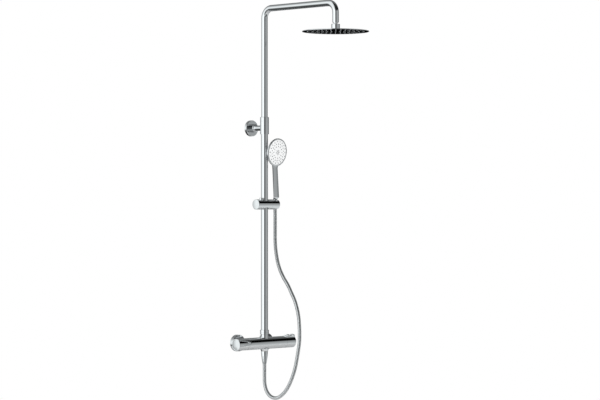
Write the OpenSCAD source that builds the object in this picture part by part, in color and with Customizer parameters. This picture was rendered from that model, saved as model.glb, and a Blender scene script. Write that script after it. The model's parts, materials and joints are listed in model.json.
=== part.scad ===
// Thermostatic shower column: bar mixer, telescopic riser with overhead arm,
// rain head on a ball joint, sliding handset holder, hand shower and hose.
// Millimetres. Origin on the wall plane, midway between the two inlets.
// +X to the right when facing the wall, +Y into the wall, +Z up.

/* [Mixer bar] */
// Distance from the wall to the axis of the bar and the riser
wall_gap = 80; // [76:1:90]
// Diameter of the mixer bar
bar_d = 46; // [46:1:50]
// Overall length of the mixer bar with both handles
bar_len = 300; // [296:1:320]
// Distance between the two wall inlets
inlet_pitch = 150; // [148:1:152]
// Diameter of each inlet rosette
rosette_d = 64; // [56:1:70]
// Depth of each inlet rosette
rosette_h = 18; // [12:1:19]
// Diameter of the upper bracket's rosette
bracket_d = 62; // [58:1:64]

/* [Riser and arm] */
// Outside diameter of the lower riser tube
riser_d = 27; // [27:0.5:27.5]
// Outside diameter of the telescopic upper tube
arm_d = 24.8; // [24.6:0.1:24.8]
// Height of the horizontal arm's axis above the bar
arm_z = 1290; // [1260:5:1340]
// Distance from the riser axis to the rain head axis
arm_reach = 385; // [330:5:420]
// Radius of the two bends, at the tube's centre line
bend_r = 38; // [30:1:60]
// Height of the wall bracket's axis above the bar
bracket_z = 830; // [800:1:834]

/* [Rain head] */
// Diameter of the rain head
head_d = 250; // [200:5:300]
// Height of the rain head's underside above the bar
head_z = 1180; // [1170:1:1190]

/* [Slider and hand shower] */
// Height of the slider's axis above the bar
slider_z = 535; // [500:1:540]
// Diameter of the slider cylinder
slider_d = 39; // [38.6:0.2:41]
// Diameter of the hand shower's head
handset_d = 108; // [106:1:108]
// Angle that the hand shower's face leans down
handset_tilt = 7; // [6:0.5:8]
// Angle that the hand shower is turned in its holder
handset_turn = 4; // [2:0.5:5]
// Diameter of the spiral hose
hose_d = 14; // [13:0.2:14.2]

/* [Hidden] */
$fn = 96;
chrome = [0.78, 0.8, 0.82];
dark = [0.12, 0.13, 0.14];
brass = [0.78, 0.62, 0.32];
rubber = [0.1, 0.1, 0.1];
plastic = [0.16, 0.165, 0.17];
white = [0.96, 0.96, 0.96];
steel = [0.6, 0.62, 0.64];

// running clearance of a turning or sliding fit, and an easy gap between castings
fit = 0.05;
gap = 0.3;

bar_y = -wall_gap;
bar_r = bar_d / 2;
half_bar = bar_len / 2;
inlet_x = inlet_pitch / 2;
// inner end of each handle, and the fixed body's end face inside it
handle_x = half_bar - 48.7;
body_end = handle_x - 0.5;
sleeve_r = 17;
sleeve_end = body_end + 11.2;
seat_r = 14.5;
spindle_r = 5;
handle_wall = 2.5;
grip_angle = 15;
grip_x = half_bar - 37;
stem_x = grip_x + 6;
button_r = bar_r + 6;

// G1/2 and G3/4 outside threads, shown as plain cylinders
half_inch_r = 10.45;
three_quarter_r = 13.2;

riser_r = riser_d / 2;
riser_bore_r = riser_r - 0.8;
riser_top = bracket_z + 32;
riser_foot = 43.5;
arm_r = arm_d / 2;
arm_bore_r = arm_r - 1.1;
arm_foot = 722;
drop_end = head_z + 35;
sleeve_top = bracket_z + 25.5;
nut_foot = bracket_z + 26;
nut_top = bracket_z + 42;

ball_z = head_z + 19;
ball_r = 11.5;
head_y = bar_y - arm_reach;
head_r = head_d / 2;

slider_r = slider_d / 2;
split_x = 26;
holder_end = 66;
cap_x = -47.6;
button_x = -25;
button_y = bar_y - 8;

cone_x = 54;
cone_y = bar_y - 3;
cone_top = slider_z + 18;
cone_foot = slider_z - 20;
nut_r = 12;
nut_tip_r = 7.3;
face = [46, bar_y - 25.5, 736];
handset_r = handset_d / 2;
handle_foot = [50.6, bar_y - 11, slider_z + 28];
handle_head = [43.2, bar_y - 11, 700];

hose_r = hose_d / 2;
outlet_nut_foot = -80;
// the hose's centre line, from the upper nut to the lower one
hose_route = [
    [54, -83, 515], [54, -83, 490], [54, -83, 460], [54, -83, 430], [54, -83, 400],
    [55, -84, 370], [56, -88, 340], [57, -95, 310], [59, -106, 280], [59, -126, 250],
    [58, -151, 222], [54, -173, 195], [52, -193, 167], [49, -209, 137], [44, -223, 105],
    [39, -232, 74], [34.5, -238, 42], [29.5, -242, 10], [24, -242, -21], [18.5, -240, -53],
    [13, -237, -85], [7, -231, -115], [1, -221, -145], [-3, -204, -173], [-4, -179, -195],
    [-2, -148, -208], [-2, -117, -204], [-1, -94, -186], [0, -82, -160], [0, -80, -132],
    [0, -80, -105], [0, -80, -80]
];

// ---- helpers ----

// children drawn along +Z are turned to run along +X on the bar's axis
module along_bar() translate([0, bar_y, 0]) rotate([0, 90, 0]) children();

// children drawn along +Z are turned to stand out of the wall at x, z
module out_of_wall(x, z) translate([x, 0, z]) rotate([90, 0, 0]) children();

// children are put on the riser's axis
module on_riser() translate([0, bar_y, 0]) children();

// children are put on the rain head's axis
module on_head() translate([0, head_y, 0]) children();

// children are put on the axis of the handset's cone
module on_cone() translate([cone_x, cone_y, 0]) children();

// children drawn along +Z from the face plane point out of the handset's face
module on_face() translate(face) rotate([0, 0, handset_turn]) rotate([90 + handset_tilt, 0, 0])
    children();

module turned(points) rotate_extrude() polygon(points);

module ring(outer, inner, low, high) turned([
    [inner, low], [outer, low], [outer, high], [inner, high]
]);

module rod(radius, low, high) translate([0, 0, low]) cylinder(r = radius, h = high - low);

// a socket-head screw along +Z: its head's underside is at z = 0
module cap_screw(head_r, head_h, shank_r, shank, key_r) difference() {
    union() {
        rod(head_r, 0, head_h);
        rod(shank_r, -shank, 0.01);
    }
    translate([0, 0, head_h - head_h / 2]) cylinder(r = key_r, h = head_h, $fn = 6);
}

// rings of points around a route, joined into one closed tube
function sub_unit(a) = a / norm(a);
function tangent(route, i) = sub_unit(
    route[min(i + 1, len(route) - 1)] - route[max(i - 1, 0)]
);
function ring_points(centre, along, side_ref, radius, sides) =
    let (u = sub_unit(cross(side_ref, along)), v = cross(along, u))
    [for (k = [0 : sides - 1]) centre + radius * (cos(360 * k / sides) * u
        + sin(360 * k / sides) * v)];

module tube_along(route, side_ref, radius, sides) {
    last = len(route) - 1;
    points = [for (i = [0 : last])
        each ring_points(route[i], tangent(route, i), side_ref, radius, sides)];
    walls = [for (i = [0 : last - 1], k = [0 : sides - 1])
        let (a = i * sides + k, b = i * sides + (k + 1) % sides)
        each [[a, a + sides, b + sides], [a, b + sides, b]]];
    start_cap = [for (k = [0 : sides - 1]) k];
    end_cap = [for (k = [sides - 1 : -1 : 0]) last * sides + k];
    polyhedron(points, concat([start_cap, end_cap], walls));
}

// a compression spring along +Z with its centre line inside its two ends
module coil_spring(radius, wire, height, turns) {
    steps = 10 * turns;
    rise = height - 2 * wire;
    route = [for (i = [0 : steps])
        [radius * cos(36 * i), radius * sin(36 * i), wire + rise * i / steps]];
    tube_along(route, [0, 0, 1], wire, 6);
}

// ---- mixer bar, fixed ----

module mixer_body() color(chrome) difference() {
    union() {
        along_bar() rod(bar_r, -body_end, body_end);
        along_bar() rod(sleeve_r, -sleeve_end, sleeve_end);
        for (side = [-1, 1]) out_of_wall(side * inlet_x, 0) {
            rod(12.9, 36.5, 39.5);
            rod(11, 39, wall_gap);
        }
        on_riser() rod(15, 0, 40);
        on_riser() translate([0, 0, -31]) cylinder(r1 = 13.2, r2 = 16.4, h = 10);
        on_riser() rod(15, -23, 0);
    }
    along_bar() rod(12, -body_end - 20, body_end + 20);
    for (side = [-1, 1]) {
        mirror([side < 0 ? 1 : 0, 0, 0]) along_bar() rod(seat_r, 48, sleeve_end + 1);
        out_of_wall(side * inlet_x, 0) rod(8, 36, wall_gap);
    }
    on_riser() rod(9, 0, 41);
    on_riser() rod(half_inch_r, -32, -20);
    on_riser() rod(5, -21, 0);
}

// wall thread, body under the rosette and the male end that the nut grips
module inlet_union(side) color(brass) out_of_wall(side * inlet_x, 0) turned([
    [8, -16], [10.478, -16], [10.478, 2], [13, 2], [13, 20], [three_quarter_r, 20],
    [three_quarter_r, 34], [8, 34]
]);

module union_nuts() color(chrome) for (side = [-1, 1]) out_of_wall(side * inlet_x, 0)
    difference() {
        translate([0, 0, 22]) cylinder(r = 18.5, h = 21, $fn = 6);
        rod(three_quarter_r + fit, 21, 39.6);
        rod(11.1, 39, 44);
    }

// fibre washers at the inlets, the riser joint and the lower hose joint
module washers() color(rubber) {
    for (side = [-1, 1]) out_of_wall(side * inlet_x, 0) ring(12.5, 8, 34, 36.5);
    on_riser() ring(14.5, 10, 40, 41.5);
    on_riser() ring(10.2, 5.2, -48, -46);
}

module check_valves() color(plastic) for (side = [-1, 1]) out_of_wall(side * inlet_x, 0)
    turned([[0, 40], [7.9, 40], [7.9, 43], [7, 43], [7, 50], [7.9, 50], [7.9, 52], [0, 52]]);

module wall_rosette(x, z, radius, depth, hole_r) color(chrome) out_of_wall(x, z) turned([
    [radius - 1.4, 0.3], [radius, 0.3], [radius, depth - 1.2], [radius - 1.2, depth],
    [hole_r, depth], [hole_r, depth - 1.5], [radius - 1.4, depth - 1.5]
]);

// both cartridges share one outline: a sealed core with two water ports
module cartridge() turned([
    [0, 48.5], [12.4, 48.5], [14.4, 50.5], [14.4, 54], [11.6, 54], [11.6, 62], [14.4, 62],
    [14.4, 66], [11.6, 66], [11.6, 84], [14.4, 84], [14.4, sleeve_end],
    [spindle_r + fit, sleeve_end], [spindle_r + fit, 72], [0, 72]
]);

module thermostatic_cartridge() color(plastic) along_bar() cartridge();

module flow_cartridge() color(plastic) mirror([1, 0, 0]) along_bar() cartridge();

module cartridge_nuts() color(brass) for (side = [0, 1]) mirror([side, 0, 0])
    along_bar() turned([
        [sleeve_r, sleeve_end - 9], [19.6, sleeve_end - 9], [19.6, sleeve_end + 3],
        [7, sleeve_end + 3], [7, sleeve_end], [sleeve_r, sleeve_end]
    ]);

// ---- handles ----

// hollow cup with a splined hub; z is the distance from the handle's inner end
module handle_cup() turned([
    [bar_r - handle_wall, 0], [bar_r, 0], [bar_r, 47.7], [bar_r - 1, 48.7], [20, 48.7],
    [20, 45.7], [5, 45.7], [5, 42], [2.6, 42], [2.6, 40], [spindle_r, 40], [spindle_r, 19],
    [9, 19], [9, 37], [bar_r - handle_wall, 37]
]);

module handle_cap() turned([
    [0, 45.9], [19.9, 45.9], [19.9, 47.34], [17.5, 47.65], [15, 47.93], [12, 48.21],
    [9, 48.43], [6, 48.58], [3, 48.67], [0, 48.7]
]);

module handle_spindle() turned([
    [0, -28], [spindle_r, -28], [spindle_r, 40], [2.5, 40], [2.5, 28], [0, 28]
]);

module handle_screw() translate([0, 0, 42]) cap_screw(4.6, 3.2, 2.5, 14, 1.7);

// right-hand handle: z = 0 of the children lies at the handle's inner end
module at_temperature() along_bar() translate([0, 0, handle_x]) children();

// left-hand handle, mirrored
module at_flow() mirror([1, 0, 0]) at_temperature() children();

// children with +Z outward stand on the grip side of the right-hand handle
module on_grip() translate([0, bar_y, 0]) rotate([grip_angle, 0, 0]) children();

module flow_handle() color(chrome) at_flow() handle_cup();

module flow_cap() color(chrome) at_flow() handle_cap();

module flow_spindle() color(brass) at_flow() handle_spindle();

module flow_screw() color(steel) at_flow() handle_screw();

module temperature_handle() color(chrome) difference() {
    union() {
        at_temperature() handle_cup();
        on_grip() intersection() {
            rotate([0, 90, 0]) ring(bar_r + 3, bar_r - 1, handle_x + 3, half_bar);
            translate([handle_x, -9.5, 0]) cube([60, 19, 40]);
        }
        on_grip() intersection() {
            rotate([0, 90, 0]) ring(bar_r + 6, bar_r - 1, half_bar - 9, half_bar);
            translate([handle_x, -8.5, 0]) cube([60, 17, 40]);
        }
    }
    on_grip() translate([half_bar - 16.5, 20, 34.5]) rotate([90, 0, 0]) cylinder(r = 10, h = 40);
    on_grip() translate([grip_x - 0.2, -6.2, bar_r - 1]) cube([12.4, 12.4, 20]);
    on_grip() translate([stem_x, 0, 0]) rod(2.55, 15, 30);
}

module temperature_cap() color(chrome) at_temperature() handle_cap();

module temperature_spindle() color(brass) at_temperature() handle_spindle();

module temperature_screw() color(steel) at_temperature() handle_screw();

// stop button: block over the grip, stem through the shell, retaining clip inside
module safety_button() color(chrome) on_grip() difference() {
    union() {
        intersection() {
            rotate([0, 90, 0]) rod(button_r, grip_x, grip_x + 12);
            translate([grip_x, -6, bar_r + 1.5]) cube([12, 12, 10]);
        }
        translate([stem_x, 0, 0]) rod(2.5, bar_r - 4.6, bar_r + 3);
        translate([stem_x, 0, 0]) rod(3.8, bar_r - 4.6, bar_r - 3.2);
    }
    translate([stem_x, 0, 0]) ring(5.2, 2.5, bar_r, bar_r + 4.5);
}

module safety_spring() color(steel) on_grip() translate([stem_x, 0, bar_r - 1])
    coil_spring(4, 0.5, 5.4, 4);

// ---- riser, fixed ----

module riser_union_nut() color(chrome) on_riser() turned([
    [15.05, 34], [16.2, 34], [17, 34.8], [17, 41.6], [16.4, 42.2], [17, 42.8], [17, 50.2],
    [16.2, 51], [riser_r + fit, 51], [riser_r + fit, 43.6], [15.05, 43.6]
]);

module riser_tail() color(brass) on_riser() turned([
    [9.5, 41.5], [14.6, 41.5], [14.6, riser_foot], [riser_bore_r, riser_foot],
    [riser_bore_r, 62], [9.5, 62]
]);

module riser_tube() color(chrome) on_riser() ring(riser_r, riser_bore_r, riser_foot, riser_top);

module outlet_nipple() color(brass) on_riser() ring(half_inch_r, 5, -46, -20);

module hose_nut_lower() color(chrome) on_riser() turned([
    [half_inch_r, -31.5], [12.7, -31.5], [13.2, -32], [12.9, -40], [11.9, -50], [10.4, -61],
    [8.9, -71], [nut_tip_r, outlet_nut_foot],
    [4.5, outlet_nut_foot], [4.5, -48], [10.5, -48], [10.5, -46], [half_inch_r, -46]
]);

module hose() color(steel) tube_along(hose_route, [0.98, 0.18, 0], hose_r, 10);

// ---- wall bracket, fixed ----

module bracket_plate() color(steel) out_of_wall(0, bracket_z) difference() {
    union() {
        rod(25, 0, 4);
        rod(9, 3, 16);
    }
    for (side = [-1, 1]) translate([0, 17 * side, 0]) rod(2.55, -1, 5);
}

module bracket_screws() color(steel) for (side = [-1, 1])
    out_of_wall(0, bracket_z + 17 * side) {
        translate([0, 0, 4]) cap_screw(4.5, 2.8, 2.35, 5, 1.7);
        rod(2.5, -24, 0);
    }

module bracket_rosette() wall_rosette(0, bracket_z, bracket_d / 2, 12, 15.8);

// outline of the bracket's arm: a hub at the rosette and a neck at the sleeve
bracket_arm = [
    [0, 4.3], [12.4, 4.3], [12.4, 12], [15.4, 12], [15.4, 27.5], [15, 29.4], [14, 30.6],
    [12.4, 31.4], [11.4, 32.8], [10.8, 35], [10.5, 39], [10.4, 45], [10.4, 68], [0, 68]
];

module bracket_body() color(chrome) difference() {
    union() {
        on_riser() rod(17, bracket_z - 24, sleeve_top);
        on_riser() rod(15.2, bracket_z, nut_foot + 5);
        out_of_wall(0, bracket_z) turned(bracket_arm);
    }
    on_riser() rod(riser_r + fit, bracket_z - 60, bracket_z + 60);
    out_of_wall(0, bracket_z) rod(9.05, 4, 16.3);
    translate([0, -14, bracket_z - 20]) rod(1.95, 0, 20);
}

module bracket_grub_screw() color(steel) translate([0, -14, bracket_z]) difference() {
    rod(1.9, -15.8, -9.05);
    rod(0.9, -16, -13.5);
}

module telescope_nut() color(chrome) on_riser() turned([
    [15.25, nut_foot], [16.4, nut_foot], [17, nut_foot + 0.6], [17, nut_top - 1],
    [16, nut_top], [arm_r + 0.5, nut_top], [arm_r + 0.5, nut_top - 5], [15.25, nut_top - 5]
]);

module wiper_seal() color(rubber) on_riser()
    ring(15.1, arm_r + fit, riser_top + 0.4, nut_top - 5.2);

// ---- telescopic arm ----

module glide_bush() color(plastic) on_riser() turned([
    [10.25, 684], [12.62, 684], [12.62, 692], [11.25, 692], [11.25, 693.6], [12.62, 693.6],
    [12.62, 711], [11.25, 711], [11.25, 712.6], [12.62, 712.6], [12.62, 721.7], [10.25, 721.7]
]);

module glide_orings() color(rubber) on_riser() for (z = [692.8, 711.8])
    rotate_extrude() translate([11.96, z]) circle(r = 0.65, $fn = 16);

// the arm's path, drawn solid with the given radius
module arm_path(radius, spare) {
    on_riser() rod(radius, arm_foot - spare, arm_z - bend_r);
    translate([0, bar_y - bend_r, arm_z - bend_r]) rotate([90, 0, 90])
        rotate_extrude(angle = 90) translate([bend_r, 0]) circle(r = radius);
    translate([0, bar_y - bend_r, arm_z]) rotate([90, 0, 0])
        cylinder(r = radius, h = arm_reach - 2 * bend_r);
    translate([0, head_y + bend_r, arm_z - bend_r]) rotate([90, 0, -90])
        rotate_extrude(angle = 90) translate([bend_r, 0]) circle(r = radius);
    on_head() rod(radius, drop_end - spare, arm_z - bend_r);
}

module overhead_arm() color(chrome) difference() {
    arm_path(arm_r, 0);
    arm_path(arm_bore_r, 1);
}

module arm_tail() color(brass) on_riser() turned([
    [8.5, 680], [12.2, 680], [12.2, 683.7], [10.2, 683.7], [10.2, arm_foot],
    [arm_bore_r, arm_foot], [arm_bore_r, arm_foot + 22], [8.5, arm_foot + 22]
]);

module ball_stud() color(chrome) on_head() difference() {
    union() {
        translate([0, 0, ball_z]) sphere(r = ball_r);
        rod(7, ball_z, drop_end);
        rod(9, drop_end - 2, drop_end);
        rod(arm_bore_r, drop_end, drop_end + 20);
    }
    rod(3.5, ball_z - 20, drop_end + 21);
}

// bearing cup under the ball: it tilts with the head one way and in it the other way
module ball_seat() color(plastic) on_head() difference() {
    intersection() {
        translate([0, 0, ball_z]) sphere(r = 13);
        rod(14, ball_z - 14, ball_z - 3.5);
    }
    translate([0, 0, ball_z]) sphere(r = ball_r + fit);
    rod(4.5, ball_z - 20, ball_z);
}

// ---- rain head ----

module ball_nut() color(chrome) on_head() difference() {
    turned([
        [0, ball_z - 11], [15.4, ball_z - 11], [16.2, ball_z - 10.2], [16.2, ball_z + 8.6],
        [14.8, ball_z + 10], [0, ball_z + 10]
    ]);
    rod(14.65, ball_z - 12, ball_z + 0.3);
    translate([0, 0, ball_z]) sphere(r = ball_r + 0.1);
    translate([0, 0, ball_z + 5.8]) cylinder(r1 = 10, r2 = 12.4, h = 5);
}

module head_hub() color(chrome) on_head() difference() {
    union() {
        turned([
            [0, head_z + 4.4], [18, head_z + 4.4], [18, head_z + 5.6], [17.2, head_z + 6.4],
            [0, head_z + 6.4]
        ]);
        rod(14.6, head_z + 6, ball_z);
    }
    translate([0, 0, ball_z]) sphere(r = 13 + fit);
    rod(4.5, head_z, ball_z);
}

module head_shell() color(chrome) on_head() translate([0, 0, head_z]) turned([
    [5, 3.4], [28, 3.1], [head_r - 6.5, 2.1], [head_r - 6.5, 1], [head_r - 0.3, 1],
    [head_r - 0.3, 0.2], [head_r, 0.2], [head_r, 2], [head_r - 1, 2.8], [30, 4],
    [20, 4.4], [5, 4.4]
]);

module head_face() color(dark) on_head() rod(head_r - 0.4, head_z, head_z + 1);

module nozzle_mat() color([0.5, 0.52, 0.53]) on_head() rod(head_r - 7, head_z + 1, head_z + 2);

// ---- slider ----

// sliding bush, trimmed to the slider's round outside, with a collar that holds the slider on it
module slider_bush() color(plastic) intersection() {
    on_riser() translate([0, 0, slider_z]) turned([
        [riser_r + fit, -20], [15.5, -20], [15.5, -2], [16.4, -2], [16.4, 2], [15.5, 2],
        [15.5, 20], [riser_r + fit, 20]
    ]);
    translate([0, bar_y, slider_z]) rotate([0, 90, 0]) rod(slider_r - 0.4, -20, 20);
}

module slider_body() color(chrome) difference() {
    translate([0, bar_y, slider_z]) rotate([0, 90, 0]) rod(slider_r, cap_x + 3.6, split_x);
    on_riser() rod(15.5 + fit, slider_z - 30, slider_z + 30);
    on_riser() rod(16.4 + fit, slider_z - 2 - fit, slider_z + 2 + fit);
    translate([0, bar_y, slider_z]) rotate([0, 90, 0]) rod(8, cap_x, cap_x + 12);
    translate([0, bar_y, slider_z]) rotate([0, 90, 0]) rod(5, 14, split_x + 1);
    translate([button_x, button_y, slider_z]) {
        rod(7.05, 6, 30);
        rod(3.05, -30, 7);
        rod(4.8, -30, -16);
    }
}

module slider_end_cap() color(chrome) translate([0, bar_y, slider_z]) rotate([0, 90, 0])
    turned([
        [0, cap_x], [3, cap_x + 0.03], [6, cap_x + 0.12], [9, cap_x + 0.28],
        [12, cap_x + 0.5], [15, cap_x + 0.78], [17.5, cap_x + 1.06],
        [slider_r - 0.6, cap_x + 1.26], [slider_r, cap_x + 1.8], [slider_r, cap_x + 3.6],
        [8, cap_x + 3.6], [8, cap_x + 11.6], [0, cap_x + 11.6]
    ]);

module holder_pivot() color(steel) translate([0, bar_y, slider_z]) rotate([0, 90, 0]) {
    rod(5, 17.5, 36.01);
    rod(7.5, 36, 38);
}

module release_button() color(chrome) translate([button_x, button_y, slider_z]) {
    turned([
        [0, 14], [7, 14], [7, 24.7], [6, 25.5], [0, 25.5]
    ]);
    rod(3, -18.6, 14.01);
    turned([[0, -21], [3.6, -21], [4.5, -20], [4.5, -16.2], [0, -16.2]]);
}

module release_spring() color(steel) translate([button_x, button_y, slider_z + 6])
    coil_spring(5.2, 0.8, 8, 4);

module handset_holder() color(chrome) difference() {
    translate([0, bar_y, slider_z]) rotate([0, 90, 0]) turned([
        [0, split_x + gap], [slider_r, split_x + gap], [slider_r, holder_end - 1],
        [slider_r - 1, holder_end], [0, holder_end]
    ]);
    translate([0, bar_y, slider_z]) rotate([0, 90, 0]) {
        rod(5 + fit, split_x - 1, 37);
        rod(8, 35.7, cone_x - 8);
    }
    on_cone() {
        rod(nut_r + 0.35, cone_top - 10, cone_top + 10);
        translate([0, 0, cone_foot]) cylinder(r1 = nut_tip_r + 0.35, r2 = nut_r + 0.35,
            h = cone_top - 10 - cone_foot);
        rod(nut_tip_r + 0.35, cone_foot - 10, cone_foot + 1);
        translate([0, -7.8, cone_foot - 10]) cube([30, 15.6, 60]);
    }
}

// ---- hand shower ----

module hose_nut_upper() color(chrome) on_cone() turned([
    [4.5, cone_foot], [nut_tip_r, cone_foot], [nut_r, cone_top - 10], [nut_r, cone_top - 0.6],
    [nut_r - 0.6, cone_top], [half_inch_r, cone_top], [half_inch_r, cone_top - 10],
    [4.5, cone_top - 10]
]);

module hose_washer_upper() color(rubber) on_cone()
    ring(10.2, 5, cone_top - 10, cone_top - 8.4);

module handset_tail() color(chrome) on_cone() turned([
    [4, cone_top - 8.4], [half_inch_r, cone_top - 8.4], [half_inch_r, cone_top],
    [7.2, cone_top], [7.2, cone_top + 6], [4, cone_top + 6]
]);

// flared collar between the threaded tail and the wider handle
module handset_collar() color(chrome) difference() {
    hull() {
        on_cone() rod(8, cone_top + 1.5, cone_top + 2.5);
        translate(handle_foot) rotate([0, 0, handset_turn]) handle_bar(-1, 0);
    }
    on_cone() rod(7.2, cone_top, cone_top + 6);
    on_cone() rod(3.5, cone_top, handle_foot.z + 1);
}

// children drawn along +Z from 0 run up the handle's axis from its foot
module on_handle() {
    run = handle_head - handle_foot;
    translate(handle_foot) rotate([-asin(run.y / norm(run)), atan(run.x / run.z), 0])
        rotate([0, 0, handset_turn]) children();
}

// the head's slim back, a nearly flat disc behind an upright wall
module head_disc() turned([
    [0, -3.5], [handset_r - 5, -3.5], [handset_r - 5, -1], [handset_r - 4, -0.2],
    [handset_r - 1, -0.6], [handset_r, -1.6], [handset_r, -5.4], [handset_r - 0.6, -6.6],
    [handset_r - 2, -7.3], [handset_r - 8, -8.2], [handset_r - 18, -10.2],
    [handset_r - 34, -12.6], [0, -13.5]
]);

// the mouth that the spray face turns in, and the water chamber behind it
module head_hollow() turned([
    [0, 5], [handset_r - 5.01, 5], [handset_r - 5.01, -3.5], [handset_r - 9, -3.5],
    [handset_r - 9, -6], [handset_r - 18, -8], [handset_r - 34, -10.6], [0, -11.5]
]);

// a length of the handle: a nearly flat front and a round back between two narrowing sides
module handle_bar(low, high) intersection() {
    translate([0, 65.5, low]) cylinder(r = 70, h = high - low);
    translate([0, -9.5, low]) cylinder(r = 16.5, h = high - low);
    rotate([90, 0, 0]) linear_extrude(24, center = true) polygon([
        [handle_half(low), low], [handle_half(high), high],
        [-handle_half(high), high], [-handle_half(low), low]
    ]);
}

// half of the handle's width at a distance from its foot
function handle_half(along) = 15 - 0.021 * along;

// the head's back runs down into the handle like a drop
module neck() hull() {
    on_face() translate([0, 0, -10.5]) cylinder(r = 30, h = 1);
    on_face() translate([0, 0, -18.5]) cylinder(r = 15, h = 4);
    on_handle() scale([0.97, 0.97, 1]) handle_bar(111, 112);
}

module handset_shell() color(chrome) difference() {
    union() {
        on_face() head_disc();
        neck();
        difference() {
            on_handle() handle_bar(-4, 128);
            translate(handle_foot + [-30, -30, -30]) cube([60, 60, 30]);
        }
    }
    on_face() head_hollow();
    on_handle() rod(4.05, -4, 146);
}

module handset_waterway() color(plastic) on_handle() ring(4, 2.8, 1, 122);

// ---- turning spray face ----

module spray_face() color(white) on_face() turned([
    [0, -2], [handset_r - 8, -2], [handset_r - 8, -3.2], [handset_r - 5.3, -3.2],
    [handset_r - 5.3, -0.8], [handset_r - 6, -0.2], [30, 0.6], [0, 1]
]);

module spray_mat() color([0.55, 0.57, 0.58]) on_face() rod(handset_r - 8.4, -3.2, -2);

// ---- drawing ----

mixer_body();
inlet_union(-1);  // inlet_union_hot
inlet_union(1);  // inlet_union_cold
union_nuts();
washers();
check_valves();
wall_rosette(-inlet_x, 0, rosette_d / 2, rosette_h, 13.4);  // rosette_hot
wall_rosette(inlet_x, 0, rosette_d / 2, rosette_h, 13.4);  // rosette_cold
thermostatic_cartridge();
flow_cartridge();
cartridge_nuts();
riser_union_nut();
riser_tail();
riser_tube();
outlet_nipple();
hose_nut_lower();
hose();
bracket_plate();
bracket_screws();
bracket_rosette();
bracket_body();
bracket_grub_screw();
telescope_nut();
wiper_seal();
glide_bush();
glide_orings();
overhead_arm();
arm_tail();
ball_stud();
ball_seat();
ball_nut();
head_hub();
head_shell();
head_face();
nozzle_mat();
slider_bush();
slider_body();
slider_end_cap();
holder_pivot();
release_button();
release_spring();
handset_holder();
handset_shell();
handset_waterway();
handset_tail();
handset_collar();
hose_nut_upper();
hose_washer_upper();
spray_face();
spray_mat();
flow_handle();
flow_cap();
flow_spindle();
flow_screw();
temperature_handle();
temperature_cap();
temperature_spindle();
temperature_screw();
safety_button();
safety_spring();
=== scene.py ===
"""Looks of a thermostatic shower column: chrome, spiral hose, nozzles, camera and studio."""
import json
import math

import bpy
import numpy as np
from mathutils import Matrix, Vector


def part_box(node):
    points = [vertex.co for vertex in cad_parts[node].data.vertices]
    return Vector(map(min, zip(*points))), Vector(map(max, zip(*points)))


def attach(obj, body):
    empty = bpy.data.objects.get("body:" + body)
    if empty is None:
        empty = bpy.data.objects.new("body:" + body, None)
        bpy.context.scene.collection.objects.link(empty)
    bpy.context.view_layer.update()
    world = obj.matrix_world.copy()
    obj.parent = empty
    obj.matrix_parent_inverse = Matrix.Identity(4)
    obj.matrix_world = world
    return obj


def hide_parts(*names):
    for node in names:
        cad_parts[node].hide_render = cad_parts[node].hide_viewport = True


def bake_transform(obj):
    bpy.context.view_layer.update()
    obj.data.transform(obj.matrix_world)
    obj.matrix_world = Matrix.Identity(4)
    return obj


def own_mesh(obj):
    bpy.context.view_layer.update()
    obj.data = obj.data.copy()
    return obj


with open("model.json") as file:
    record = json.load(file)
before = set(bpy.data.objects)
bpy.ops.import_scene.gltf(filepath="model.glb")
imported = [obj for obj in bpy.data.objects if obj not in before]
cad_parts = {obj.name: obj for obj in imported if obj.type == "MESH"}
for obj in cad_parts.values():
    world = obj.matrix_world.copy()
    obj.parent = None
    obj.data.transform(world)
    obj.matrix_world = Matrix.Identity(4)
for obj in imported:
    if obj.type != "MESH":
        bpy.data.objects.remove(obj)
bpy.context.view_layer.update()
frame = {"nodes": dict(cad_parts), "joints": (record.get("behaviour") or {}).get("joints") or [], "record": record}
nodes = frame["nodes"]


def middle(node):
    low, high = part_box(node)
    return (low + high) / 2


def joint_named(name):
    return next(joint for joint in frame["joints"] if joint["name"] == name)


# ---- camera: level, from the front left, long lens ----
VIEW_ANGLE = math.radians(44.5)
VIEW_DISTANCE = 8.26
EYE_HEIGHT = 0.552
RISER_TO_AXIS = 0.137
LENS = 128.4
SENSOR_WIDTH = 36
ahead = Vector((math.sin(VIEW_ANGLE), math.cos(VIEW_ANGLE), 0))
right = Vector((math.cos(VIEW_ANGLE), -math.sin(VIEW_ANGLE), 0))


def make_camera():
    data = bpy.data.cameras.new("camera")
    data.sensor_width = SENSOR_WIDTH
    data.lens = LENS
    camera = bpy.data.objects.new("camera", data)
    bpy.context.scene.collection.objects.link(camera)
    riser = middle("riser_tube")
    riser.z = EYE_HEIGHT
    camera.location = riser - ahead * VIEW_DISTANCE + right * RISER_TO_AXIS
    camera.rotation_euler = ahead.to_track_quat("-Z", "Y").to_euler()
    bpy.context.scene.camera = camera


# ---- materials ----
RELIEF_DEPTH = 0.0002
NOISE_ROUGHNESS = 0.55


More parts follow.
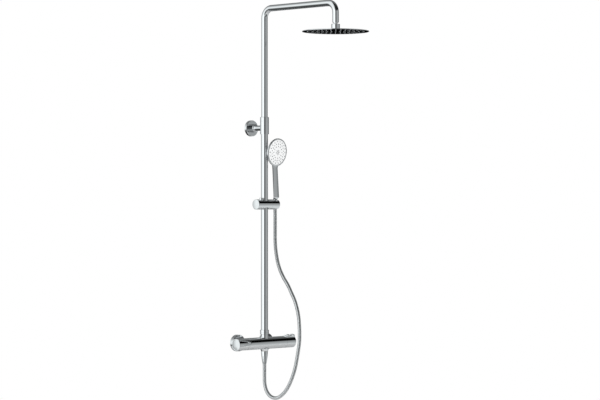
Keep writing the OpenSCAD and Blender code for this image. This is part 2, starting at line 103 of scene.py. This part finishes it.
class Graph:
    """A material's node tree, with short calls for what the materials share."""

    def __init__(self, name):
        self.material = bpy.data.materials.new(name)
        self.material.use_nodes = True
        self.tree = self.material.node_tree
        self.shader = self.tree.nodes["Principled BSDF"]
        self.place = self.add("ShaderNodeTexCoord").outputs["Object"]

    def add(self, kind, **values):
        node = self.tree.nodes.new(kind)
        for key, value in values.items():
            setattr(node, key, value)
        return node

    def link(self, source, target):
        self.tree.links.new(source, target)

    def constant(self, **values):
        for key, value in values.items():
            self.shader.inputs[key.replace("_", " ")].default_value = value

    def noise(self, scale, detail=3.0):
        node = self.add("ShaderNodeTexNoise")
        node.inputs["Scale"].default_value = scale
        node.inputs["Detail"].default_value = detail
        node.inputs["Roughness"].default_value = NOISE_ROUGHNESS
        self.link(self.place, node.inputs["Vector"])
        return node.outputs["Fac"]

    def span(self, value, low, high):
        node = self.add("ShaderNodeMapRange")
        node.inputs["To Min"].default_value = low
        node.inputs["To Max"].default_value = high
        self.link(value, node.inputs["Value"])
        return node.outputs["Result"]

    def colours(self, value, first, second):
        node = self.add("ShaderNodeMix", data_type="RGBA")
        node.inputs["A"].default_value = (*first, 1)
        node.inputs["B"].default_value = (*second, 1)
        self.link(value, node.inputs["Factor"])
        return node.outputs["Result"]

    def bump(self, height, strength):
        node = self.add("ShaderNodeBump")
        node.inputs["Strength"].default_value = strength
        node.inputs["Distance"].default_value = RELIEF_DEPTH
        self.link(height, node.inputs["Height"])
        self.link(node.outputs["Normal"], self.shader.inputs["Normal"])


def surface(name, first, second, metallic, rough, scale, bump, bump_scale, **constants):
    """A material: colour and roughness drift with one noise, relief follows a finer one."""
    graph = Graph(name)
    drift = graph.noise(scale)
    graph.link(graph.colours(drift, first, second), graph.shader.inputs["Base Color"])
    graph.link(graph.span(drift, *rough), graph.shader.inputs["Roughness"])
    graph.bump(graph.noise(bump_scale, detail=2.0), bump)
    graph.constant(Metallic=metallic, **constants)
    return graph.material


def tone(red, green=None, blue=None):
    """A grey of one value, or a colour."""
    return (red, red if green is None else green, red if blue is None else blue)


# two colours, metallic, roughness range, drift scale, relief strength and relief scale
FINISHES = {
    "chrome": (tone(0.80, 0.81, 0.825), tone(0.88, 0.885, 0.89), 1.0, (0.035, 0.07), 9.0, 0.03, 60.0),
    "hose_metal": (tone(0.70, 0.71, 0.72), tone(0.84, 0.845, 0.85), 1.0, (0.10, 0.18),
                   40.0, 0.08, 700.0),
    "mirror_face": (tone(0.40), tone(0.48), 1.0, (0.05, 0.09), 12.0, 0.03, 80.0),
    "brass": (tone(0.62, 0.46, 0.20), tone(0.78, 0.60, 0.30), 1.0, (0.22, 0.34), 50.0, 0.15, 900.0),
    "steel": (tone(0.48, 0.49, 0.50), tone(0.62, 0.62, 0.63), 1.0, (0.24, 0.38), 60.0, 0.12, 900.0),
    "seal_rubber": (tone(0.015), tone(0.04), 0.0, (0.6, 0.8), 90.0, 0.3, 1200.0),
    "grey_silicone": (tone(0.34, 0.35, 0.36), tone(0.44, 0.45, 0.46), 0.0, (0.45, 0.6),
                      90.0, 0.2, 1400.0),
    "dark_silicone": (tone(0.15, 0.155, 0.16), tone(0.21, 0.215, 0.22), 0.0, (0.45, 0.6),
                      90.0, 0.2, 1400.0),
    "engineering_plastic": (tone(0.03), tone(0.06), 0.0, (0.4, 0.55), 70.0, 0.15, 900.0),
}
MATERIALS = {name: surface(name, *finish) for name, finish in FINISHES.items()}
MATERIALS["white_plastic"] = surface("white_plastic", tone(0.93), tone(0.97), 0.0, (0.12, 0.2),
                                     30.0, 0.05, 500.0, Coat_Weight=0.3)


def dress_nodes():
    """Every CAD node takes the material of its slot in the record."""
    for part in frame["record"]["subparts"]:
        piece = nodes[part["node"]]
        piece.data.materials.clear()
        piece.data.materials.append(MATERIALS[part["material_slot"]])


# ---- meshes ----
def piece_of(name, points, faces, slot_name, body=None, material=None):
    """A smooth piece in the finish of its slot, or in another one; it rides on the body."""
    mesh = bpy.data.meshes.new(name)
    mesh.from_pydata([tuple(p) for p in points], [], faces)
    mesh.polygons.foreach_set("use_smooth", [True] * len(faces))
    mesh.materials.append(MATERIALS[material or slot_name])
    mesh.update()
    piece = bpy.data.objects.new(name, mesh)
    bpy.context.scene.collection.objects.link(piece)
    if body:
        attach(piece, body)
    return piece


# ---- hose ----
MM = 0.001
HOSE_ROUTE = [
    (54, -83, 515), (54, -83, 490), (54, -83, 460), (54, -83, 430), (54, -83, 400),
    (55, -84, 370), (56, -88, 340), (57, -95, 310), (59, -106, 280), (59, -126, 250),
    (58, -151, 222), (54, -173, 195), (52, -193, 167), (49, -209, 137), (44, -223, 105),
    (39, -232, 74), (34.5, -238, 42), (29.5, -242, 10), (24, -242, -21), (18.5, -240, -53),
    (13, -237, -85), (7, -231, -115), (1, -221, -145), (-3, -204, -173), (-4, -179, -195),
    (-2, -148, -208), (-2, -117, -204), (-1, -94, -186), (0, -82, -160), (0, -80, -132),
    (0, -80, -105), (0, -80, -80),
]
HOSE_RADIUS = 0.007
RIB_PITCH = 0.0052
RIB_DEPTH = 0.0011
RIB_CROWN = 0.00025
RIB_SHARE = 0.40
RING_STEP = RIB_PITCH / 12
HOSE_SIDES = 28
STEPS_PER_SPAN = 60


def smooth_line(points, step):
    """Points a step apart on a smooth curve, how far along they lie, and where the given ones lie."""
    given = np.array(points, float) * MM
    padded = np.vstack([2 * given[0] - given[1], given, 2 * given[-1] - given[-2]])
    fine = []
    share = np.linspace(0, 1, STEPS_PER_SPAN, endpoint=False)[:, None]
    for a, b, c, d in zip(padded, padded[1:], padded[2:], padded[3:]):
        fine.append(0.5 * (2 * b + (c - a) * share + (2 * a - 5 * b + 4 * c - d) * share ** 2
                           + (3 * b - a - 3 * c + d) * share ** 3))
    line = np.vstack([*fine, given[-1:]])
    along = np.concatenate([[0], np.cumsum(np.linalg.norm(np.diff(line, axis=0), axis=1))])
    at = np.linspace(0, along[-1], round(along[-1] / step) + 1)
    spaced = np.stack([np.interp(at, along, line[:, k]) for k in range(3)], axis=1)
    return spaced, at, along[np.arange(len(given)) * STEPS_PER_SPAN]


def frames_along(line):
    """Two crosswise directions at each point that turn as little as possible."""
    ahead_of = np.gradient(line, axis=0)
    ahead_of /= np.linalg.norm(ahead_of, axis=1)[:, None]
    side = np.array([1.0, 0, 0])
    sides = []
    for direction in ahead_of:
        side = side - direction * (side @ direction)
        side /= np.linalg.norm(side)
        sides.append(side)
    sides = np.array(sides)
    return sides, np.cross(ahead_of, sides)


def groove(phase):
    """Depth share of the spiral groove: 0 on the band, 1 in the groove."""
    away = np.abs(phase - 0.5) / (RIB_SHARE / 2)
    return np.where(away < 1, 0.5 + 0.5 * np.cos(np.pi * np.clip(away, 0, 1)), 0)


def tube_faces(rings, sides):
    """Faces of a tube of rings, closed at both ends."""
    faces = []
    for base in range(0, (rings - 1) * sides, sides):
        for k in range(sides):
            beside = (k + 1) % sides
            faces.append((base + k, base + beside, base + sides + beside, base + sides + k))
    start = tuple(range(sides - 1, -1, -1))
    end = tuple((rings - 1) * sides + k for k in range(sides))
    return faces + [start, end]


def tube_points(line, sides, ups, radius):
    """A ring of points round each point of the line; radius has a row for each ring."""
    angle = 2 * np.pi * np.arange(radius.shape[1])[:, None] / radius.shape[1]
    around = np.cos(angle) * sides[:, None, :] + np.sin(angle) * ups[:, None, :]
    return (line[:, None, :] + radius[..., None] * around).reshape(-1, 3)


def hose_piece(name, line, at, frames, first, last):
    """The hose between two rings, with its spiral groove."""
    pick = np.arange(first, last + 1)
    turn = np.arange(HOSE_SIDES) / HOSE_SIDES
    phase = (at[pick, None] / RIB_PITCH + turn[None, :]) % 1
    radius = HOSE_RADIUS - RIB_CROWN * (1 - np.cos(2 * np.pi * phase)) - RIB_DEPTH * groove(phase)
    points = tube_points(line[pick], frames[0][pick], frames[1][pick], radius)
    piece = piece_of(name, points, tube_faces(len(pick), HOSE_SIDES), "hose_metal")
    return piece


def make_hose():
    """Four pieces in a row in place of the CAD hose, split at given points of the route."""
    line, at, marks = smooth_line(HOSE_ROUTE, RING_STEP)
    frames = frames_along(line)
    at_point = [int(np.argmin(np.abs(at - mark))) for mark in marks]
    top, held, swung, carried, end = 0, 4, 7, 10, len(HOSE_ROUTE) - 1
    lift = hose_piece("hose_top", line, at, frames, at_point[top], at_point[held])
    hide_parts("hose")
    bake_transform(lift)
    tilt = hose_piece("hose_under_holder", line, at, frames, at_point[held], at_point[swung])
    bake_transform(tilt)
    swivel = hose_piece("hose_bend", line, at, frames, at_point[swung], at_point[carried])
    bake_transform(swivel)
    loop = hose_piece("hose_loop", line, at, frames, at_point[carried], at_point[end])
    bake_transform(loop)


# ---- nozzles ----
NOZZLE_SIDES = 12


def placed(points, origin, normal, up):
    """Points drawn round +Z, turned so that +Z is the normal and +Y is up."""
    z = np.array(normal, float) / np.linalg.norm(normal)
    x = np.cross(up, z)
    x /= np.linalg.norm(x)
    y = np.cross(z, x)
    return np.array(origin) + np.array(points) @ np.array([x, y, z])


def nozzle(profile, stretch):
    """One turned nozzle: profile is radius and height, from its base over its tip to the hole."""
    points = []
    for radius, height in profile:
        for k in range(NOZZLE_SIDES):
            turn = 2 * math.pi * k / NOZZLE_SIDES
            points.append((radius * math.cos(turn) * stretch, radius * math.sin(turn), height))
    return points, tube_faces(len(profile), NOZZLE_SIDES)


def nozzles(name, spots, profile, origin, normal, up, body, stretch=1.0, material=None):
    """A nozzle at each (radius, angle) spot in one mesh; stretch lengthens it along the radius."""
    shape, shape_faces = nozzle(profile, stretch)
    points, faces = [], []
    for radius, angle in spots:
        c, s = math.cos(angle), math.sin(angle)
        first = len(points)
        points += [(radius * c + x * c - y * s, radius * s + x * s + y * c, z) for x, y, z in shape]
        faces += [tuple(first + i for i in face) for face in shape_faces]
    piece_of(name, placed(points, origin, normal, up), faces, "grey_silicone", body, material)


def ring_spots(radius, count, turn=0.0):
    return [(radius, 2 * math.pi * (k + turn) / count) for k in range(count)]


RAIN_RINGS = 6
RAIN_SPACING = 0.0176
RAIN_NOZZLE = [(0.0022, -0.0004), (0.0021, 0.0001), (0.0017, 0.0007), (0.0014, 0.0009),
               (0.0009, 0.0009), (0.0007, 0.0004)]


def make_rain_nozzles():
    low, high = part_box("head_face")
    centre = ((low.x + high.x) / 2, (low.y + high.y) / 2, low.z)
    spots = []
    for k in range(1, RAIN_RINGS + 1):
        spots += ring_spots(RAIN_SPACING * k, 6 * k, 0.25 * k)
    nozzles("rain_nozzles", spots, RAIN_NOZZLE, centre, (0, 0, -1), (0, 1, 0), "rain_head")


SPRAY_NOZZLE = [(0.0016, -0.0004), (0.0015, 0.0002), (0.0011, 0.0009), (0.0008, 0.0011),
                (0.0004, 0.0011), (0.0003, 0.0006)]
SPRAY_RINGS = ((0.0420, 18, 0.0), (0.0325, 18, 0.5), (0.0230, 12, 0.0))
SPRAY_STRETCH = 1.6
JET_RINGS = ((0.0085, 8), (0.0038, 5))
# how far the white face and its middle stand out from the joint's place
FACE_RISE = 0.0006
JET_RISE = 0.0004


def make_spray_nozzles():
    joint = joint_named("spray_select")
    normal = np.array(joint["axis"], float)
    origin = np.array(joint["pos_m"], float) + normal * FACE_RISE
    spots = [spot for ring in SPRAY_RINGS for spot in ring_spots(*ring)]
    nozzles("spray_nozzles", spots, SPRAY_NOZZLE, origin, normal, (0, 0, 1), "spray_plate",
            stretch=SPRAY_STRETCH, material="dark_silicone")
    spots = [spot for ring in JET_RINGS for spot in ring_spots(*ring)]
    nozzles("jet_nozzles", spots, SPRAY_NOZZLE, origin + normal * JET_RISE, normal, (0, 0, 1),
            "spray_plate", material="dark_silicone")


# ---- springs ----
COIL_TURNS = 4
COIL_RINGS = 36
COIL_SIDES = 10
# the turns and the rise, in wire radii, of a coil's flattened ends
END_TURNS = 0.7
END_RISE = 2.2


def make_spring(name, node, joint_name, body, radius, wire, height):
    """A round-wire coil in place of a CAD spring, along its button's joint axis."""
    joint = joint_named(joint_name)
    out = -np.array(joint["axis"], float)
    seat = np.array(middle(node)) - out * height / 2
    turn = np.linspace(0, COIL_TURNS, COIL_RINGS * COIL_TURNS + 1)
    rise = np.interp(turn, [0, END_TURNS, COIL_TURNS - END_TURNS, COIL_TURNS],
                     [wire, END_RISE * wire, height - END_RISE * wire, height - wire])
    angle = 2 * np.pi * turn
    coil = np.stack([radius * np.cos(angle), radius * np.sin(angle), rise], axis=1)
    line = placed(coil, seat, out, (1, 0, 0))
    points = tube_points(line, *frames_along(line), np.full((len(line), COIL_SIDES), wire))
    spring = piece_of(name, points, tube_faces(len(line), COIL_SIDES), "steel", body)
    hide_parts(node)
    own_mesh(spring)


# ---- stage ----
FLOOR_HALF = 1.5
FLOOR_HEIGHT = -1


def make_floor():
    corners = [(x * FLOOR_HALF, y * FLOOR_HALF, FLOOR_HEIGHT)
               for x, y in ((-1, -1), (1, -1), (1, 1), (-1, 1))]
    mesh = bpy.data.meshes.new("floor")
    mesh.from_pydata(corners, [], [(0, 1, 2, 3)])
    floor = bpy.data.objects.new("floor", mesh)
    bpy.context.scene.collection.objects.link(floor)
    paint = surface("floor_paint", tone(0.78), tone(0.82), 0.0, (0.7, 0.8), 3.0, 0.05, 60.0)
    mesh.materials.append(paint)


PANEL_GAIN = 1.25
PANEL_TINT = (0.955, 1.0, 1.005)
STRIP_LEVEL = 0.17


def make_world():
    """White behind the object, and a studio of pale and dark panels that the chrome reflects."""
    world = bpy.data.worlds.new("studio")
    bpy.context.scene.world = world
    world.use_nodes = True
    tree = world.node_tree
    tree.nodes.clear()

    def put(source, socket):
        if isinstance(source, (int, float)):
            socket.default_value = source
        else:
            tree.links.new(source, socket)

    def calc(operation, *values):
        node = tree.nodes.new("ShaderNodeMath")
        node.operation = operation
        for socket, value in zip(node.inputs, values):
            put(value, socket)
        return node.outputs[0]

    def mix(share, first, second):
        kept = calc("MULTIPLY", calc("SUBTRACT", 1, share), first)
        return calc("MULTIPLY_ADD", share, second, kept)

    def ramp(value, *stops):
        """A level for each value from -1 to 1, straight between the (value, level) stops."""
        node = tree.nodes.new("ShaderNodeValToRGB")
        elements = node.color_ramp.elements
        elements.remove(elements[1])
        for k, (place, level) in enumerate(stops):
            element = elements[0] if k == 0 else elements.new(0.5 + place / 2)
            element.position = 0.5 + place / 2
            element.color = (level, level, level, 1)
        put(calc("MULTIPLY_ADD", value, 0.5, 0.5), node.inputs["Fac"])
        return node.outputs["Color"]

    way = tree.nodes.new("ShaderNodeTexCoord").outputs["Generated"]

    def towards(vector):
        node = tree.nodes.new("ShaderNodeVectorMath")
        node.operation = "DOT_PRODUCT"
        put(way, node.inputs[0])
        node.inputs[1].default_value = vector
        return node.outputs["Value"]

    front, left, high = towards(-ahead), towards(-right), towards((0, 0, 1))
    # the near half of the room: white on the left, dark in the middle, grey on the right
    level = ramp(left, (-1, 0.38), (-0.9, 0.45), (-0.8, 0.40), (-0.6, 0.29), (-0.37, 0.19),
                 (-0.15, 0.11), (0.16, 0.09), (0.30, 1.0), (1, 1.0))
    level = calc("MULTIPLY", level, ramp(left, (0.2, 0.8), (0.28, 1.0), (0.8, 1.0), (1, 0.8)))
    level = calc("MULTIPLY", level, PANEL_GAIN)
    above = ramp(left, (-0.1, 0.02), (0.2, 0.1), (0.4, 0.95))
    below = ramp(left, (-0.5, 0.07), (-0.2, 0.45), (0.2, 0.45), (0.45, 0.12))
    near_half = mix(ramp(high, (-0.42, 1), (-0.28, 0)), level, below)
    near_half = mix(ramp(high, (0.25, 0), (0.4, 1)), near_half, above)
    # the far half: a wall on the right with a dark band, and a pale one on the left
    right_wall = ramp(high, (-1, 0.5), (-0.7, 0.77), (-0.6, 0.75), (-0.43, 0.65), (-0.2, 0.51),
                      (0.03, 0.38), (0.2, 0.28), (0.33, 0.0), (0.67, 0.0), (0.705, 0.10),
                      (0.8, 0.14), (1, 0.2))
    far_right = ramp(high, (-0.6, 0.45), (-0.3, 0.36), (-0.12, 0.16), (0.12, 0.16), (0.3, 0.22),
                     (0.8, 0.3))
    right_wall = mix(ramp(front, (-0.85, 1), (-0.5, 0)), right_wall, far_right)
    level_strip = ramp(high, (-0.2, 0), (-0.1, 1), (0.1, 1), (0.2, 0))
    strip_share = calc("MULTIPLY", level_strip, ramp(front, (-0.5, 1), (-0.08, 0)))
    right_wall = mix(strip_share, right_wall, STRIP_LEVEL)
    left_wall = ramp(high, (-1, 0.06), (-0.67, 0.08), (-0.4, 0.11), (-0.25, 0.38), (-0.12, 0.8),
                     (0.05, 0.85), (0.35, 0.85), (0.67, 0.5), (1, 0.3))
    fade = ramp(front, (-1, 0.3), (-0.5, 0.38), (-0.26, 0.6), (0, 1.0))
    left_wall = calc("MULTIPLY", calc("MULTIPLY", left_wall, fade), PANEL_GAIN)
    far_half = mix(ramp(left, (0.1, 0), (0.26, 1)), right_wall, left_wall)
    panels = mix(ramp(front, (-0.02, 0), (0.08, 1)), far_half, near_half)
    # a dark opening low behind it, which the mirrored underside of the rain head shows
    opening = ramp(high, (-0.4, 0), (-0.3, 1), (-0.05, 1), (0, 0))
    opening = calc("MULTIPLY", ramp(front, (-0.92, 1), (-0.86, 0)), opening)
    panels = mix(opening, panels, 0.0)
    seen = tree.nodes.new("ShaderNodeLightPath").outputs["Is Camera Ray"]
    colour = tree.nodes.new("ShaderNodeCombineColor")
    for socket, tint in zip(colour.inputs, PANEL_TINT):
        put(mix(seen, calc("MULTIPLY", panels, tint), 1.0), socket)
    background = tree.nodes.new("ShaderNodeBackground")
    put(colour.outputs[0], background.inputs["Color"])
    put(background.outputs[0], tree.nodes.new("ShaderNodeOutputWorld").inputs["Surface"])


LAMP_TARGET = Vector((0, -0.1, 0.5))


def make_lamp(name, place, size, power):
    data = bpy.data.lights.new(name, "AREA")
    data.shape = "DISK"
    data.size = size
    data.energy = power
    lamp = bpy.data.objects.new(name, data)
    bpy.context.scene.collection.objects.link(lamp)
    lamp.location = place
    lamp.rotation_euler = (LAMP_TARGET - Vector(place)).to_track_quat("-Z", "Y").to_euler()
    lamp.visible_glossy = False


bpy.context.scene.view_settings.view_transform = "Standard"
make_camera()
make_hose()
dress_nodes()
make_rain_nozzles()
make_spray_nozzles()
make_spring("release_coil", "release_spring", "release_press", "slider", 0.0052, 0.0008, 0.008)
make_spring("stop_coil", "safety_spring", "stop_press", "temperature_control",
            0.004, 0.0005, 0.0054)
make_floor()
make_world()
make_lamp("key_lamp", (-3.0, -3.2, 2.6), 1.6, 160)
make_lamp("fill_lamp", (2.2, -3.4, 0.6), 2.0, 60)
